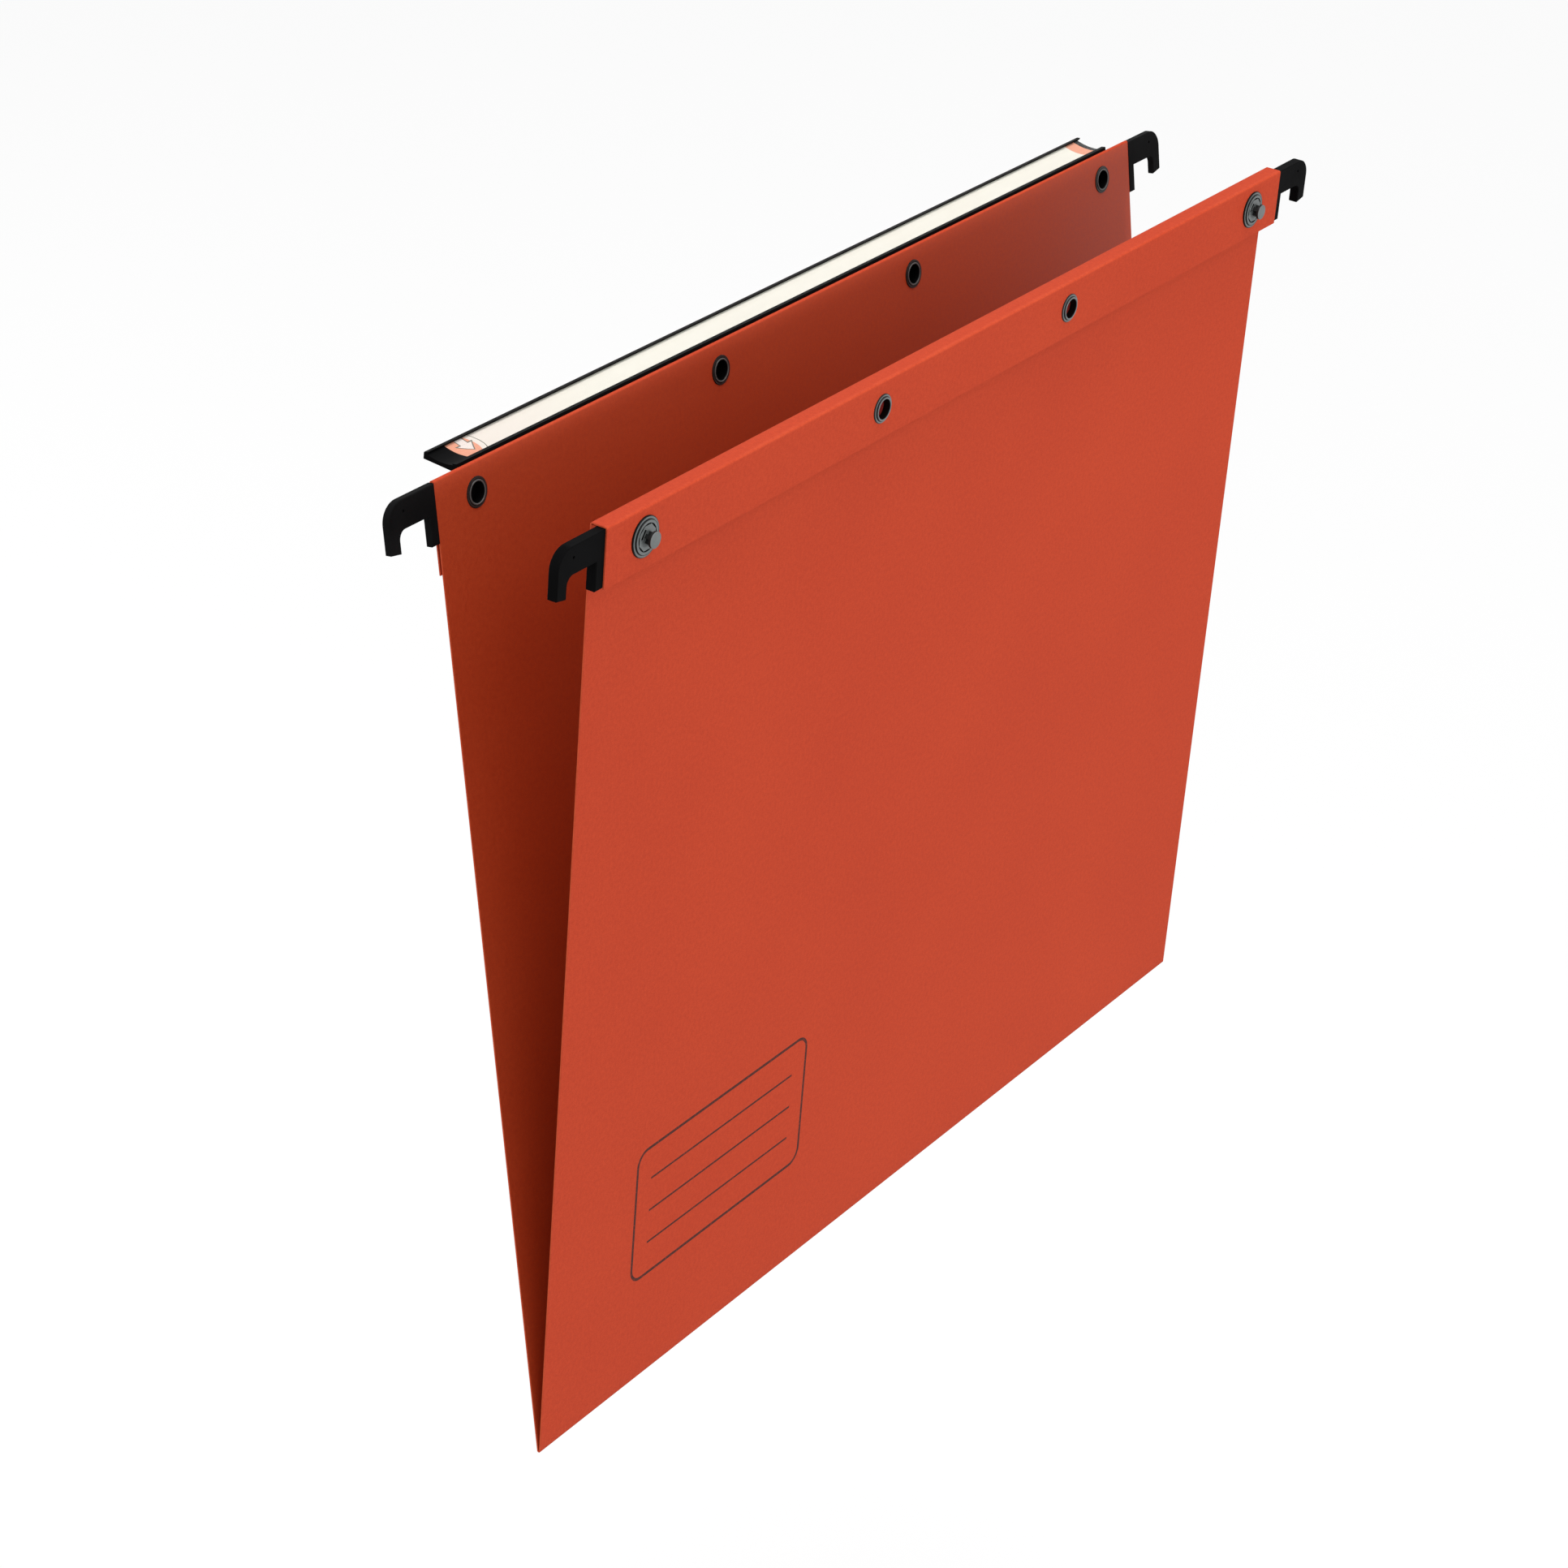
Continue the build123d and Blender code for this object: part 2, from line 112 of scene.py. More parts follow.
front_edge = folded_edge(-1, front_pocket_depth, front_flap)
rear_edge = folded_edge(1, rear_pocket_depth, rear_flap)
outline = rear_edge[::-1] + crease_line() + front_edge
lengths = [0.0]
for before, after in zip(outline, outline[1:]):
    lengths.append(lengths[-1] + (after - before).length)
rear_foot = lengths[len(rear_edge) - 1]
front_foot = lengths[len(outline) - len(front_edge)]
crease_middle = (rear_foot + front_foot) / 2
stations = [crease_middle - length for length in lengths]


def sheet_point(along, run):
    """Place in the row frame of a point of the flat sheet; run is positive up the rear leaf."""
    for k in range(len(stations) - 1):
        if stations[k] >= run >= stations[k + 1]:
            break
    share = (stations[k] - run) / (stations[k] - stations[k + 1])
    y, z = outline[k].lerp(outline[k + 1], share)
    return Vector((along, y, z))


rear_panel_run = crease_middle - rear_foot + rear_row
rear_flap_run = stations[0] - (rear_row - leaf_height + rear_flap)
front_flap_run = stations[-1] + (front_row - leaf_height + front_flap)
holes = [(x, front_flap_run) for x in (-inner_fastener_x, inner_fastener_x)]
for x in (-outer_fastener_x, -inner_fastener_x, inner_fastener_x, outer_fastener_x):
    holes += [(x, rear_panel_run), (x, rear_flap_run)]


def grid_lines(centres, others):
    """Sorted grid lines: an even patch of lines round each hole's centre, and the others clear of it."""
    spread = [hole_patch * k / patch_steps for k in range(-patch_steps, patch_steps + 1)]
    patch = [centre + offset for centre in centres for offset in spread]
    reach = hole_patch + patch_margin
    clear = [line for line in others if all(abs(line - centre) > reach for centre in centres)]
    return sorted(patch + clear)


columns = grid_lines(
    sorted({x for x, run in holes}),
    [sheet_width * (k / column_count - 0.5) for k in range(column_count + 1)],
)
rows = grid_lines(sorted({run for x, run in holes}), stations)
sheet = bmesh.new()
corners = {}
flat_places = {}


def sheet_corner(along, run):
    """Vertex of the sheet at a flat place, made on first use."""
    key = (round(along, weld_digits), round(run, weld_digits))
    if key not in corners:
        corners[key] = sheet.verts.new(sheet_point(along, run))
    return corners[key]


def add_face(places):
    """Face between flat places, remembered for its flat-sheet coordinates."""
    face = sheet.faces.new([sheet_corner(*place) for place in places])
    flat_places[face] = places


def in_patch(along, run):
    """Whether a flat place lies in the square patch round a hole."""
    return any(abs(along - x) < hole_patch and abs(run - r) < hole_patch for x, r in holes)


for left, right in zip(columns, columns[1:]):
    for low, high in zip(rows, rows[1:]):
        if not in_patch((left + right) / 2, (low + high) / 2):
            add_face([(left, low), (left, high), (right, high), (right, low)])
for x, run in holes:
    steps = [k / patch_steps for k in range(-patch_steps, patch_steps)]
    square = [(s, -1) for s in steps] + [(1, s) for s in steps]
    square += [(-s, 1) for s in steps] + [(-1, -s) for s in steps]
    ring = []
    for across, up in square:
        turn = atan2(up, across)
        rim = (x + eyelet_hole * cos(turn), run + eyelet_hole * sin(turn))
        ring.append(((x + across * hole_patch, run + up * hole_patch), rim))
    for (edge, rim), (next_edge, next_rim) in zip(ring, ring[1:] + ring[:1]):
        add_face([edge, rim, next_rim, next_edge])

flat = sheet.loops.layers.uv.new("flat_sheet")
for face, places in flat_places.items():
    for loop, place in zip(face.loops, places):
        loop[flat].uv = place
sheet_mesh = bpy.data.meshes.new("card_sheet")
sheet.to_mesh(sheet_mesh)
sheet.free()
card_sheet = bpy.data.objects.new("card_sheet", sheet_mesh)
bpy.context.collection.objects.link(card_sheet)


class Shade:
    """A socket in a node tree; arithmetic adds Math nodes and node() adds any other node."""

    def __init__(self, tree, socket=None):
        self.tree = tree
        self.socket = socket

    def node(self, kind, settings=None, sockets=None, output=0):
        made = self.tree.nodes.new(kind)
        for name, value in (settings or {}).items():
            setattr(made, name, value)
        for key, value in (sockets or {}).items():
            if isinstance(value, Shade):
                self.tree.links.new(value.socket, made.inputs[key])
            else:
                made.inputs[key].default_value = value
        return Shade(self.tree, made.outputs[output])

    def maths(self, operation, first, second=0.0):
        return self.node("ShaderNodeMath", {"operation": operation}, {0: first, 1: second})

    def __add__(self, other):
        return self.maths("ADD", self, other)

    def __sub__(self, other):
        return self.maths("SUBTRACT", self, other)

    def __rsub__(self, other):
        return self.maths("SUBTRACT", other, self)

    def __mul__(self, other):
        return self.maths("MULTIPLY", self, other)

    def __abs__(self):
        return self.maths("ABSOLUTE", self)

    __radd__ = __add__
    __rmul__ = __mul__


def rise(value, low, high):
    """Smooth step from 0 at low to 1 at high."""
    settings = {"interpolation_type": "SMOOTHSTEP"}
    return value.node("ShaderNodeMapRange", settings, {"Value": value, "From Min": low, "From Max": high})


def within(value, reach, soft):
    """Mask of 1 where a value is closer to zero than reach, with a soft edge."""
    return 1 - rise(abs(value), reach - soft, reach + soft)


def most(first, *others):
    """Greatest of several values."""
    for other in others:
        first = first.maths("MAXIMUM", first, other)
    return first


def length_of(across, up):
    """Length of a step with two parts at right angles."""
    square = across * across + up * up
    return square.maths("SQRT", square)


def speckle(place, scale, detail, roughness):
    """Noise value round 0.5 with features of about 1 / scale metres."""
    sockets = {"Vector": place, "Scale": scale, "Detail": detail, "Roughness": roughness}
    return place.node("ShaderNodeTexNoise", None, sockets)


def sway(noise, reach):
    """Noise as a change to either side of zero."""
    return (noise - 0.5) * reach


def tinted(mask, first, second):
    """Colour that goes from first to second as the mask rises."""
    return mask.node("ShaderNodeMix", {"data_type": "RGBA"}, {0: mask, 6: first, 7: second}, output=2)


def stretched(place, scale):
    """Coordinates scaled axis by axis, which draws noise out into fibres, lines and scratches."""
    return place.node("ShaderNodeVectorMath", {"operation": "MULTIPLY"}, {0: place, 1: scale})


def parts_of(place):
    """Separate X, Y and Z of a coordinate."""
    return [place.node("ShaderNodeSeparateXYZ", None, {0: place}, output=axis) for axis in range(3)]


def relief(height, depth, strength):
    """Normal of a surface whose height goes from 0 to depth metres."""
    sockets = {"Height": height, "Distance": depth, "Strength": strength}
    return height.node("ShaderNodeBump", None, sockets)


def new_finish(name, **constants):
    """Material with its fixed values set; returns it, a place to start nodes from and its shader."""
    finish = bpy.data.materials.new(name)
    finish.use_nodes = True
    shader = finish.node_tree.nodes["Principled BSDF"]
    for socket, value in constants.items():
        shader.inputs[socket.replace("_", " ")].default_value = value
    return finish, Shade(finish.node_tree), shader


def drive(start, shader, **links):
    """Feed the shader's sockets from shades."""
    for socket, shade in links.items():
        start.tree.links.new(shade.socket, shader.inputs[socket.replace("_", " ")])


deep_card = (0.455, 0.036, 0.0095, 1)
light_card = (0.605, 0.072, 0.0260, 1)
# Darker, deeper copies of the card's colours for the sheet's inside: painted shade of the V between the
# leaves.
deep_inside_shaded = (0.40, 0.0295, 0.0022, 1)
light_inside_shaded = (0.53, 0.061, 0.0100, 1)
cut_card = (0.70, 0.115, 0.045, 1)
card_shine = 0.17
card_roughness = 0.72
inside_shine = 0.50
inside_roughness = 0.59
cut_shine = 0.12
front_top_run = stations[-1] + front_flap
fold_runs = (front_top_run, front_top_run + front_pocket_depth, stations[0] - rear_flap)
fold_rub = 0.45 * mm
fold_wear = 0.3
crease_band = 0.5 * mm
crease_darkening = 0.35
band_soft = 0.4 * mm
ink = (0.022, 0.015, 0.014, 1)
ink_cover = 0.93
write_on_centre = (-83 * mm, -50 * mm)
write_on_half = (37 * mm, 19 * mm)
write_on_corner = 4 * mm
write_on_line = 0.85 * mm
ruled_heights = (-40.5 * mm, -50 * mm, -59.5 * mm)
ruled_half = 31 * mm
ruled_line = 0.612 * mm
print_soft = 0.06 * mm


def write_on_frame(along, run):
    """Mask of a plain rounded frame with three ruled lines, printed low on the front panel."""
    off_middle = along - write_on_centre[0]
    past_x = abs(off_middle) - (write_on_half[0] - write_on_corner)
    past_y = abs(run - write_on_centre[1]) - (write_on_half[1] - write_on_corner)
    outside = length_of(most(past_x, 0.0), most(past_y, 0.0))
    inside = past_x.maths("MINIMUM", most(past_x, past_y), 0.0)
    border = within(outside + inside - write_on_corner, write_on_line / 2, print_soft)
    across = within(off_middle, ruled_half, print_soft)
    ruled = [within(run - height, ruled_line / 2, print_soft) * across for height in ruled_heights]
    return most(border, *ruled)


def card_finish(name, face, deep, light, shine, roughness):
    """Dyed kraft card: fine grain, faint fibres, rubbed folds, darker along the bottom crease; the outer face
    carries the print.
    """
    finish, start, shader = new_finish(name, Specular_IOR_Level=shine)
    place = start.node("ShaderNodeUVMap", {"uv_map": "flat_sheet"})
    along, run = parts_of(place)[:2]
    clouds = speckle(place, 14, detail=3.0, roughness=0.55)
    mottle = speckle(place, 900, detail=3.0, roughness=0.6)
    grain = speckle(place, 3600, detail=2.0, roughness=0.65)
    fibres = speckle(stretched(place, (2600, 420, 1)), 1.0, detail=3.0, roughness=0.7)
    tone = 0.5 + sway(clouds, 0.35) + sway(mottle, 0.8) + sway(grain, 0.75) + sway(fibres, 0.35)
    colour = tinted(rise(tone, 0.0, 1.0), deep, light)
    for fold in fold_runs:
        rubbed = within(run - fold, fold_rub, band_soft) * rise(clouds + sway(mottle, 0.4), 0.2, 0.8)
        colour = tinted(rubbed * fold_wear, colour, cut_card)
    # Darker along the bottom crease, on every face of the sheet.
    colour = tinted(within(run, crease_band, band_soft) * crease_darkening, colour, deep)
    if face == "outer":
        printed = write_on_frame(along, run) * rise(mottle + grain, 0.55, 0.95)
        colour = tinted(printed * ink_cover, colour, ink)
    if face == "cut":
        layers = speckle(stretched(place, (900, 900, 1)), 1.0, detail=2.0, roughness=0.5)
        colour = tinted(0.55 + sway(layers, 0.6), colour, cut_card)
    drive(
        start, shader,
        Base_Color=colour,
        Roughness=roughness + sway(mottle, 0.2) + sway(clouds, 0.1),
        Normal=relief(mottle * 0.5 + grain * 0.5 + fibres * 0.4, depth=0.05 * mm, strength=0.35),
    )
    return finish


inner_slot = 1
edge_slot = 2
flap_slot = 3
smooth_angle = radians(32)
thicken = card_sheet.modifiers.new("thickness", "SOLIDIFY")
thicken.thickness = card_thickness
thicken.offset = 0
thicken.use_even_offset = True
thicken.material_offset = inner_slot
thicken.material_offset_rim = edge_slot
# The inner finish takes the inside colours, so its darkness is painted shade.
card_finishes = (
    card_finish("card_outer", "outer", deep_card, light_card, card_shine, card_roughness),
    card_finish("card_inner_shaded", "inner", deep_inside_shaded, light_inside_shaded, inside_shine, inside_roughness),
    card_finish("card_cut_edge", "cut", deep_card, light_card, cut_shine, card_roughness),
    card_finish("card_flap", "inner", deep_card, light_card, card_shine, card_roughness),
)
for finish in card_finishes:
    sheet_mesh.materials.append(finish)
graph = bpy.context.evaluated_depsgraph_get()
solid_mesh = bpy.data.meshes.new_from_object(card_sheet.evaluated_get(graph))
card_sheet.modifiers.clear()
card_sheet.data = solid_mesh

# The sheet's inner side comes round to the outside on the flaps, where it is as matt as the panels and has
# their colours, not the inside colours that paint the V's shade.
flat_corners = solid_mesh.uv_layers["flat_sheet"].data
for face in solid_mesh.polygons:
    runs = [flat_corners[loop].uv.y for loop in face.loop_indices]
    if face.material_index == inner_slot and abs(sum(runs) / len(runs)) > leaf_height:
        face.material_index = flap_slot
solid_mesh.polygons.foreach_set("use_smooth", [True] * len(solid_mesh.polygons))
solid_mesh.set_sharp_from_angle(angle=smooth_angle)
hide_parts("front_leaf", "rear_leaf")
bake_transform(card_sheet)


# Front stiffener and hanger bars
# A strip of thick board and a folded steel channel fill the front pocket, a flat steel strip the rear one.
# The bars hang the sheet. Only the ends of the three show, and the board's red inside the front eyelets.
deep_red_board = (0.16, 0.008, 0.005, 1)
board_shine = 0.2
dyed_height = 1.7 * mm
deep_red_height = 1.9 * mm
dark_strip = (0.36, 0.36, 0.37, 1)
bright_strip = (0.56, 0.56, 0.57, 1)


def model_place(start):
    """Coordinates in the model's own frame."""
    return start.node("ShaderNodeTexCoord", output="Object")


def front_height(place):
    """Height of a point over the front leaf's inner face."""
    x, y, z = parts_of(place)
    return y * -cos(leaf_lean) - (z - crease_height) * sin(leaf_lean) - crease_gap


def board_finish():
    """Board dyed like the sheet where it closes the pocket, deeper red where it fills the channel."""
    finish, start, shader = new_finish("stiffener_board", Specular_IOR_Level=board_shine)
    place = model_place(start)
    layers = speckle(stretched(place, (200, 2600, 600)), 1.0, detail=3.0, roughness=0.6)
    grain = speckle(place, 3000, detail=2.0, roughness=0.6)
    ply = layers * 0.6 + grain * 0.4
    colour = tinted(rise(ply, 0.3, 0.7), deep_card, light_card)
    colour = tinted(rise(front_height(place), dyed_height, deep_red_height), colour, deep_red_board)
    drive(
        start, shader,
        Base_Color=colour,
        Roughness=0.75 + sway(grain, 0.2),
        Normal=relief(ply, depth=0.06 * mm, strength=0.4),
    )
    return finish


def strip_steel_finish():
    """Cold-rolled strip: bright, with rolling lines along its length and a few stains."""
    finish, start, shader = new_finish("rolled_strip", Metallic=1.0)
    place = model_place(start)
    rolling = speckle(stretched(place, (30, 3000, 3000)), 1.0, detail=3.0, roughness=0.6)
    stains = speckle(place, 90, detail=4.0, roughness=0.6)
    drive(
        start, shader,
        Base_Color=tinted(rise(rolling * 0.7 + stains * 0.3, 0.3, 0.7), dark_strip, bright_strip),
        Roughness=0.3 + stains * 0.2,
        Normal=relief(rolling, depth=0.02 * mm, strength=0.2),
    )
    return finish


def dress(finish, *names):
    """Give a finish to nodes of the model."""
    for name in names:
        nodes[name].data.materials.clear()
        nodes[name].data.materials.append(finish)


dress(board_finish(), "front_stiffener")
dress(strip_steel_finish(), "front_bar", "rear_bar")


# Hooks, label holder and its end stop
# Black nylon hooks: the front ones plug into the channel, the rear ones are moulded over the strip.
# The holder is an extruded black profile that the rear eyelets rivet on, with a stop in its left end.
jet = (0.0025, 0.0025, 0.0027, 1)
black = (0.0052, 0.0052, 0.0055, 1)
painted_light_black = (0.0098, 0.0098, 0.0101, 1)
black_shine = 0.010
moulded_roughness = 0.50
extruded_roughness = 0.33
moulding_flow = (120, 260, 90)
extrusion_flow = (14, 1500, 1500)


def black_plastic_finish(name, roughness, draw, dark, pale):
    """Black plastic with a fine texture and handling marks; draw stretches its flow marks."""
    finish, start, shader = new_finish(name, Specular_IOR_Level=black_shine)
    place = model_place(start)
    texture = speckle(place, 5200, detail=2.0, roughness=0.6)
    flow = speckle(stretched(place, draw), 1.0, detail=3.0, roughness=0.55)
    handling = speckle(place, 160, detail=4.0, roughness=0.65)
    drive(
        start, shader,
        Base_Color=tinted(rise(0.5 + sway(flow, 0.7) + sway(texture, 0.5), 0.1, 0.9), dark, pale),
        Roughness=roughness + sway(handling, 0.22) + sway(texture, 0.1),
        Normal=relief(texture * 0.7 + flow * 0.3, depth=0.03 * mm, strength=0.25),
    )
    return finish


front_black = black_plastic_finish("front_moulded_black", moulded_roughness, moulding_flow, jet, black)
# The rear hooks' black is a paler copy of the front hooks': painted light.
rear_black_painted_light = black_plastic_finish("rear_moulded_black_painted_light", moulded_roughness, moulding_flow, black, painted_light_black)
holder_black = black_plastic_finish("extruded_black", extruded_roughness, extrusion_flow, jet, black)
dress(front_black, "front_left_hook", "front_right_hook")
dress(rear_black_painted_light, "rear_left_hook", "rear_right_hook")
dress(holder_black, "label_holder", "label_stop")


# Eyelets, washers, press studs and rivets
# Steel eyelets are curled over steel washers; press studs are die-cast and held by rivets from inside.
# All are plated in dark gunmetal, the studs more matt than the eyelets, with painted shade in their bores,
# seams, grooves and slots, on their outer walls and under the studs' heads.
front_plating = ((0.135, 0.148, 0.150, 1), (0.195, 0.21, 0.213, 1))
# The rear eyelets and washers take darker copies of the plating: painted shade, deepest on the washers.
rear_shaded_plating = ((0.085, 0.083, 0.081, 1), (0.150, 0.145, 0.140, 1))
rear_washer_shaded_plating = ((0.026, 0.022, 0.020, 1), (0.052, 0.046, 0.043, 1))
stud_plating = ((0.145, 0.158, 0.158, 1), (0.195, 0.21, 0.208, 1))
eyelet_roughness = 0.42
stud_roughness = 0.5
# Near-black of painted shade, laid by the masks below in bores, seams, walls, steps, grooves, slots and under
# the studs' heads.
painted_shade_black = (0.0025, 0.0025, 0.0027, 1)
seam_shade = 0.85
washer_wall_shade = 0.9
step_shade = 0.9
neck_shade = 0.92
seam_radius = 3.06 * mm
stud_step = 4.2 * mm
dark_line = 0.13 * mm
dark_soft = 0.06 * mm

# Each pair is the two ends of a soft edge of painted shade: out from a fastener's axis, or up from the flap
# in the last three.
bore_edge = (2.5 * mm, 2.62 * mm)
washer_wall = (3.46 * mm, 3.60 * mm)
stud_wall = (4.74 * mm, 4.86 * mm)
stud_groove = (3.45 * mm, 3.51 * mm)
stud_plate = (0.66 * mm, 0.75 * mm)
stud_neck = (0.85 * mm, 0.92 * mm)
stud_head = (2.87 * mm, 2.95 * mm)


def from_axis(place, side, row):
    """Distance of a point from the axis of the nearest fastener in a leaf's row."""
    x, y, z = parts_of(place)
    middle_x = (outer_fastener_x + inner_fastener_x) / 2
    along = abs(abs(abs(x) - middle_x) - (outer_fastener_x - inner_fastener_x) / 2)
    up = y * (side * sin(leaf_lean)) + (z - crease_height) * cos(leaf_lean) - row
    return length_of(along, up)


def eyelet_shade_mask(side, row, place):
    """Mask of painted shade in an eyelet's bore, along the seam round its curl and on the washer's outer
    wall.
    """
    reach = from_axis(place, side, row)
    bore = 1 - rise(reach, *bore_edge)
    seam = within(reach - seam_radius, dark_line, dark_soft) * seam_shade
    wall = rise(reach, *washer_wall) * washer_wall_shade
    return most(bore, seam, wall)


def stud_shade_mask(place):
    """Mask of painted shade on a stud's outer wall, step, groove and slots, and on everything under its
    head's face.
    """
    reach = from_axis(place, -1, front_row)
    level = front_height(place) - front_pocket_depth
    wall = rise(reach, *stud_wall)
    step = within(reach - stud_step, dark_line, dark_soft) * step_shade
    sunk = (1 - rise(level, *stud_plate)) * (1 - rise(reach, *stud_groove))
    neck = rise(level, *stud_neck) * (1 - rise(level, *stud_head)) * neck_shade
    return most(wall, step, sunk, neck)


def plated_finish(name, plating, roughness, shade_mask, **constants):
    """Gunmetal plating with clouding and fine scratches, darkened by painted shade where the shade mask says.
    """
    finish, start, shader = new_finish(name, **constants)
    place = model_place(start)
    clouding = speckle(place, 420, detail=3.0, roughness=0.6)
    grain = speckle(place, 6000, detail=2.0, roughness=0.6)
    scratches = speckle(stretched(place, (7000, 900, 500)), 1.0, detail=2.0, roughness=0.7)
    tone = clouding * 0.5 + grain * 0.25 + scratches * 0.25
    colour = tinted(rise(tone, 0.3, 0.7), *plating)
    drive(
        start, shader,
        # The mask lays painted shade over the plating.
        Base_Color=tinted(shade_mask(place), colour, painted_shade_black),
        Roughness=roughness + sway(clouding, 0.25) + sway(scratches, 0.12),
        Normal=relief(grain * 0.5 + scratches * 0.5, depth=0.02 * mm, strength=0.22),
    )
    return finish


front_eyelets = ["front_left", "front_right"]
rear_eyelets = [f"rear_{row}_{side}" for row in ("outer", "inner") for side in ("left", "right")]
front_shade_mask = partial(eyelet_shade_mask, -1, front_row)
rear_shade_mask = partial(eyelet_shade_mask, 1, rear_row)
eyelet_groups = (
    ("front", "eyelet", front_eyelets, front_plating, front_shade_mask),
    ("front", "washer", front_eyelets, front_plating, front_shade_mask),
    ("rear", "eyelet", rear_eyelets, rear_shaded_plating, rear_shade_mask),
    ("rear", "washer", rear_eyelets, rear_washer_shaded_plating, rear_shade_mask),
)
for leaf, kind, names, plating, shade_mask in eyelet_groups:
    eyelet_finish = plated_finish(
        f"gunmetal_{leaf}_{kind}", plating, eyelet_roughness, shade_mask,
        Metallic=0.25, Specular_IOR_Level=0.2,
    )
    dress(eyelet_finish, *[f"{name}_{kind}" for name in names])
stud_finish = plated_finish(
    "gunmetal_stud", stud_plating, stud_roughness, stud_shade_mask,
    Metallic=0.2, Specular_IOR_Level=0.15,
)
dress(stud_finish, "left_press_stud", "right_press_stud", "left_stud_rivet", "right_stud_rivet")


# Label strip
# Uncoated cream paper strip that slides into the holder from its open right end.
# Its ends are printed orange, with a white arrow on the left one.
left_print_end = -130.8 * mm
divider_x = -129.0 * mm
divider_half = 0.14 * mm
right_print_start = 137.7 * mm
label_middle = 28.7 * mm
print_bow = 1.2 * mm / (3.05 * mm) ** 2
print_cover = 0.9
arrow_x = -133.5 * mm
arrow_tip = 26.75 * mm
arrow_neck = 29.45 * mm
arrow_head_half = 2.45 * mm
arrow_tail_half = 1.2 * mm
arrow_line = 0.32 * mm
arrow_soft = 0.05 * mm
tip_growth = 1.4
blush_reach = 45 * mm
blush_cover = 0.7
cream = (0.87, 0.84, 0.75, 1)
warm_cream = (0.85, 0.81, 0.715, 1)
blush = (0.85, 0.75, 0.68, 1)
print_orange = (0.84, 0.29, 0.15, 1)
print_line = (0.15, 0.14, 0.10, 1)
arrow_white = (0.86, 0.75, 0.70, 1)
paper_shine = 0.25


def past(value, limit, soft):
    """Mask of 1 where a value is greater than a limit, with a soft edge."""
    return rise(value, limit - soft, limit + soft)


def arrow_mask(along, across, margin):
    """Mask of a block arrow that points to the folder's front, grown by a margin."""
    off = abs(along - arrow_x)
    tail = 1 - past(off, arrow_tail_half + margin, arrow_soft)
    tail = tail * past(across, arrow_neck - margin, arrow_soft)
    slope = arrow_head_half / (arrow_neck - arrow_tip)
    reach = (across - (arrow_tip - margin * tip_growth)) * slope
    head = past(reach - off, 0.0, arrow_soft)
    head = head * (1 - past(across, arrow_neck + margin, arrow_soft))
    return most(tail, head)


def label_finish():
    """Cream paper, a little redder towards its left end, with printed ends."""
    finish, start, shader = new_finish("label_paper", Specular_IOR_Level=paper_shine)
    place = model_place(start)
    along, across = parts_of(place)[:2]
    grain = speckle(place, 3200, detail=3.0, roughness=0.6)
    clouds = speckle(place, 60, detail=2.0, roughness=0.5)
    colour = tinted(rise(grain * 0.5 + clouds * 0.5, 0.3, 0.7), warm_cream, cream)
    blushed = 1 - rise(along, divider_x, divider_x + blush_reach)
    colour = tinted(blushed * blush_cover, colour, blush)
    off_middle = across - label_middle
    bowed = along + off_middle * off_middle * print_bow
    printed = 1 - past(bowed, left_print_end, print_soft) + past(along, right_print_start, print_soft)
    colour = tinted(printed * (print_cover + sway(grain, 0.15)), colour, print_orange)
    colour = tinted(within(bowed - divider_x, divider_half, print_soft), colour, print_line)
    colour = tinted(arrow_mask(along, across, arrow_line), colour, print_line)
    colour = tinted(arrow_mask(along, across, 0.0), colour, arrow_white)
    drive(
        start, shader,
        Base_Color=colour,
        Roughness=0.7 + sway(grain, 0.2),
        Normal=relief(grain, depth=0.03 * mm, strength=0.2),
    )
    return finish


dress(label_finish(), "label_strip")


# Label lens
# Clear extruded strip that snaps in over the label, under the holder's lip and rim.
# It is a little longer than the label, so that its bare end shows at the right.
lens_shine = 0.5
# The lens's pale cover grows at a glancing angle: a painted sheen, varied by dust.
dusty_sheen = (0.62, 0.62, 0.61, 1)
clean_sheen = (0.75, 0.75, 0.74, 1)
face_on_cover = 0.015
glancing_painted_sheen = 0.10


def lens_finish():
    """Clear plastic: nearly nothing face on, a pale painted sheen at a glancing angle, with fine draw lines.
    """
    finish, start, shader = new_finish("clear_strip", Specular_IOR_Level=lens_shine)
    place = model_place(start)
    lines = speckle(stretched(place, (10, 2500, 2500)), 1.0, detail=2.0, roughness=0.5)
    dust = speckle(place, 700, detail=4.0, roughness=0.7)
    glance = place.node("ShaderNodeLayerWeight", None, {"Blend": 0.25}, output="Facing")
    drive(
        start, shader,
        Base_Color=tinted(dust, dusty_sheen, clean_sheen),
        Roughness=0.07 + sway(dust, 0.08),
        Alpha=face_on_cover + glance * glancing_painted_sheen + sway(dust, 0.02),
        Normal=relief(lines, depth=0.01 * mm, strength=0.1),
    )
    return finish


dress(lens_finish(), "label_lens")


# Studio
# A wide pale floor under the reach of the opened front leaf; a white surround, stronger from the left.
# Two soft lamps stand in front, one above and one behind; a long lens looks down at the front left corner.
floor_half = 6.0
swing_room = 15 * mm
floor_height = crease_height - leaf_height - swing_room
lit_floor = (0.45, 0.45, 0.45, 1)
seen_floor = (0.95, 0.95, 0.95, 1)
floor_glow_share = 0.83
white = (1, 1, 1, 1)
left_level = (1.06, 1.06, 1.065, 1)
right_level = (0.26, 0.26, 0.26, 1)


def seen_directly(start):
    """Mask of the rays that come from the camera, a reflection or a clear piece."""
    kinds = ("Is Camera Ray", "Is Glossy Ray", "Is Transmission Ray")
    return most(*[start.node("ShaderNodeLightPath", output=kind) for kind in kinds])


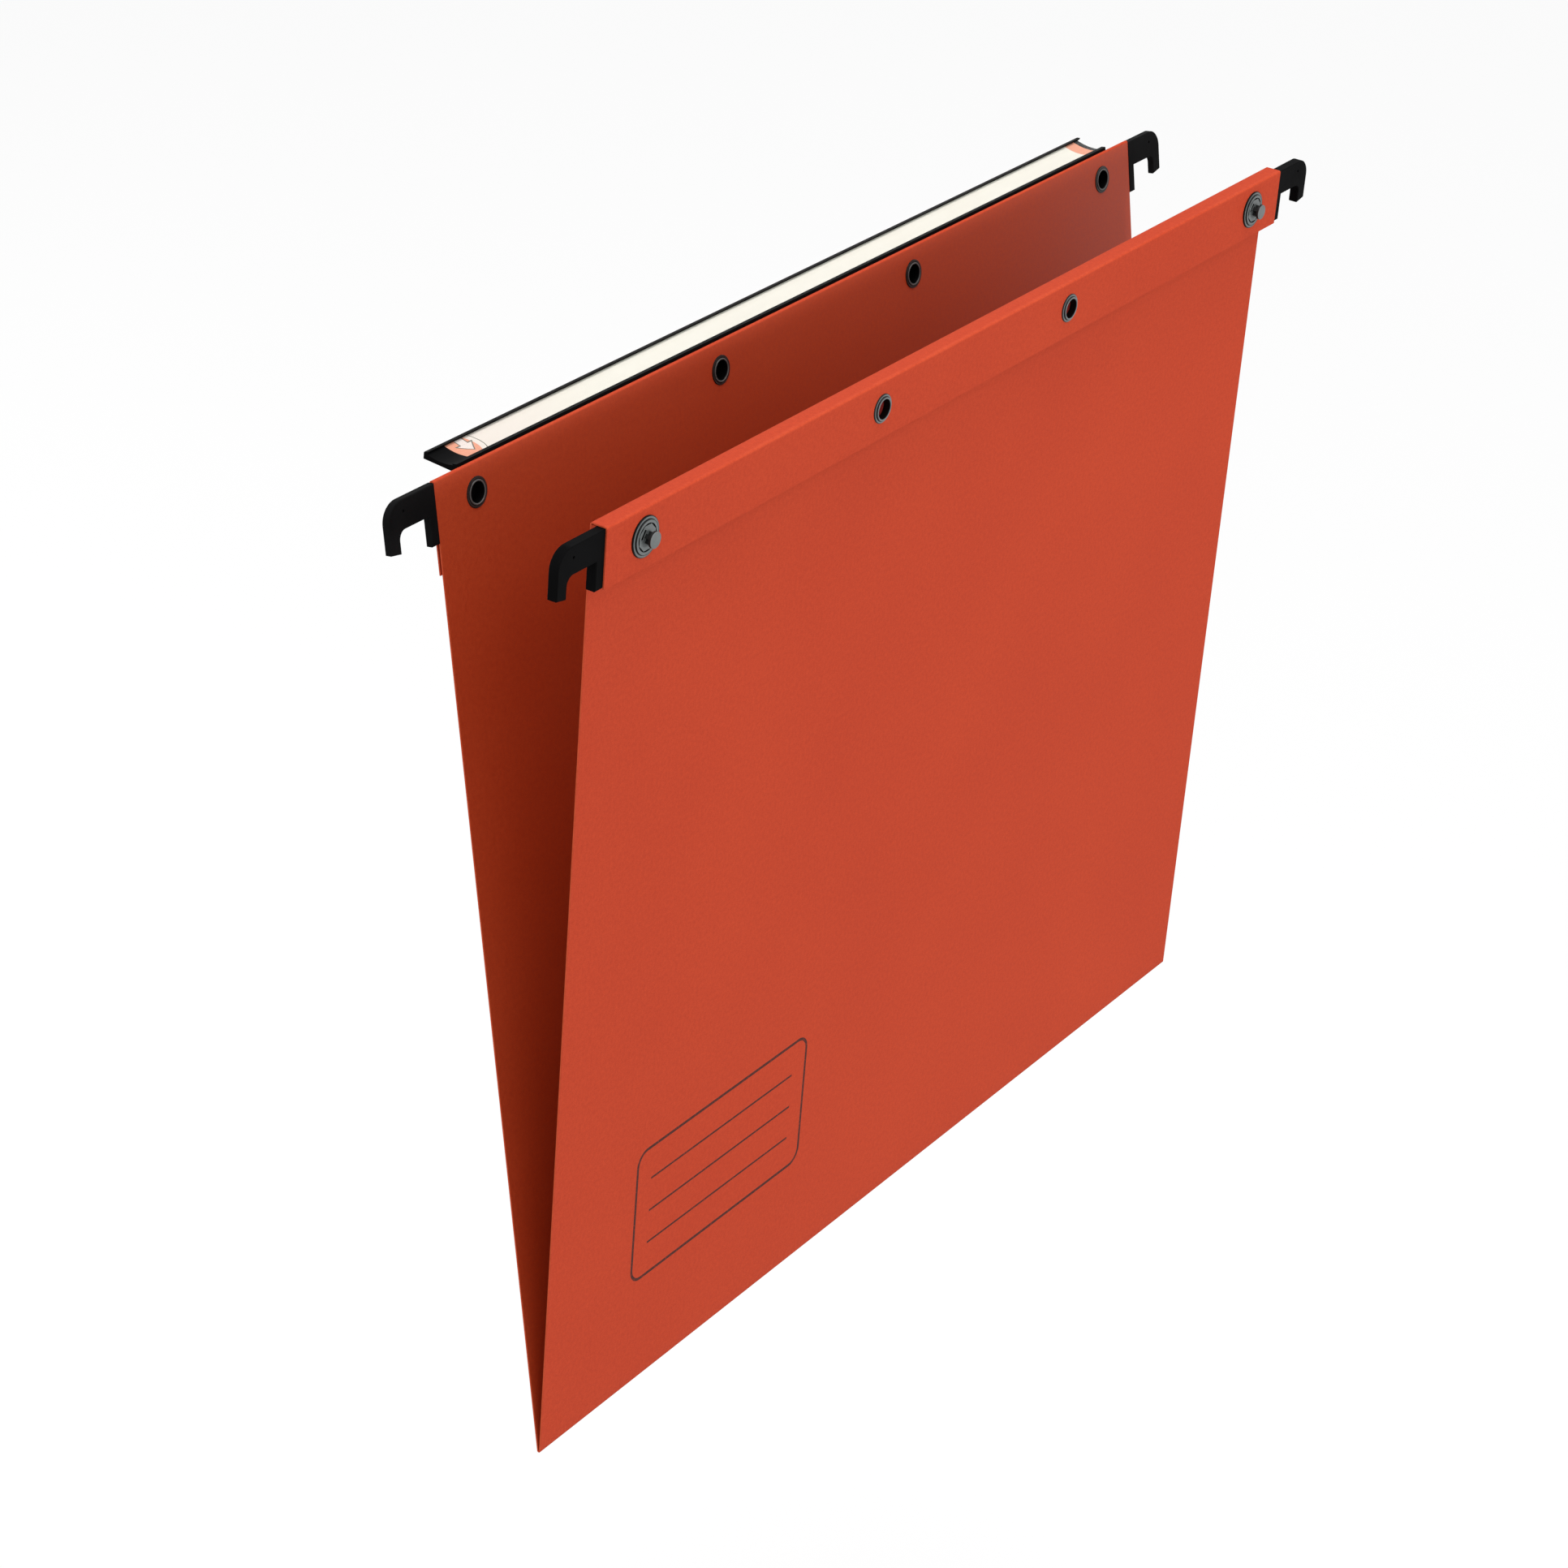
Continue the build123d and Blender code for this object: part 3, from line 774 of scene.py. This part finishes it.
floor_mesh = bpy.data.meshes.new("floor")
floor_square = ((-1, -1), (1, -1), (1, 1), (-1, 1))
floor_corners = [(floor_half * x, floor_half * y, floor_height) for x, y in floor_square]
floor_mesh.from_pydata(floor_corners, [], [(0, 1, 2, 3)])
floor = bpy.data.objects.new("floor", floor_mesh)
bpy.context.collection.objects.link(floor)
floor_finish, floor_start, floor_shader = new_finish("pale_floor", Roughness=0.9, Specular_IOR_Level=0.0)
floor_seen = seen_directly(floor_start)
drive(floor_start, floor_shader, Base_Color=tinted(floor_seen, lit_floor, seen_floor))
floor_matt = Shade(floor_start.tree, floor_shader.outputs["BSDF"])
floor_glow = floor_start.node("ShaderNodeEmission", None, {"Color": white, "Strength": 1.0})
floor_share = floor_seen * floor_glow_share
floor_mix = floor_start.node("ShaderNodeMixShader", None, {0: floor_share, 1: floor_matt, 2: floor_glow})
floor_end = floor_start.tree.nodes["Material Output"]
floor_start.tree.links.new(floor_mix.socket, floor_end.inputs["Surface"])
floor_mesh.materials.append(floor_finish)
floor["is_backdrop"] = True

surround = bpy.data.worlds.new("surround")
bpy.context.scene.world = surround
surround.use_nodes = True
sky = surround.node_tree.nodes["Background"]
sky_start = Shade(surround.node_tree)
sideways = parts_of(sky_start.node("ShaderNodeTexCoord", output="Generated"))[0]
lamp_level = tinted(rise(sideways, -1.0, 1.0), left_level, right_level)
level = tinted(seen_directly(sky_start), lamp_level, white)
surround.node_tree.links.new(level.socket, sky.inputs["Color"])

lamps = (
    ("front_lamp", (0.15, -1.95, 0.0), 0.48, 13.1),
    ("high_front_lamp", (0.5, -1.6, 1.5), 0.8, 3),
    ("overhead_lamp", (0.0, -0.25, 2.0), 1.0, 21.5),
    ("back_lamp", (-0.15, 1.95, 0.0), 0.48, 11),
)
for name, place, size, watts in lamps:
    lamp = bpy.data.lights.new(name, "AREA")
    lamp.shape = "DISK"
    lamp.size = size
    lamp.energy = watts
    stand = bpy.data.objects.new(name, lamp)
    stand.location = place
    stand.rotation_euler = (-stand.location).to_track_quat("-Z", "Y").to_euler()
    bpy.context.collection.objects.link(stand)

camera_place = (-0.85461, -0.54135, 0.35741)
camera_aim = Vector((0.75039, 0.50320, -0.42862))
camera_data = bpy.data.cameras.new("camera")
camera_data.lens = 99.06
camera_data.sensor_width = 36
camera = bpy.data.objects.new("camera", camera_data)
camera.location = camera_place
camera.rotation_euler = camera_aim.to_track_quat("-Z", "Y").to_euler()
bpy.context.collection.objects.link(camera)
bpy.context.scene.camera = camera
bpy.context.scene.view_settings.view_transform = "Standard"

low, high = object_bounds()
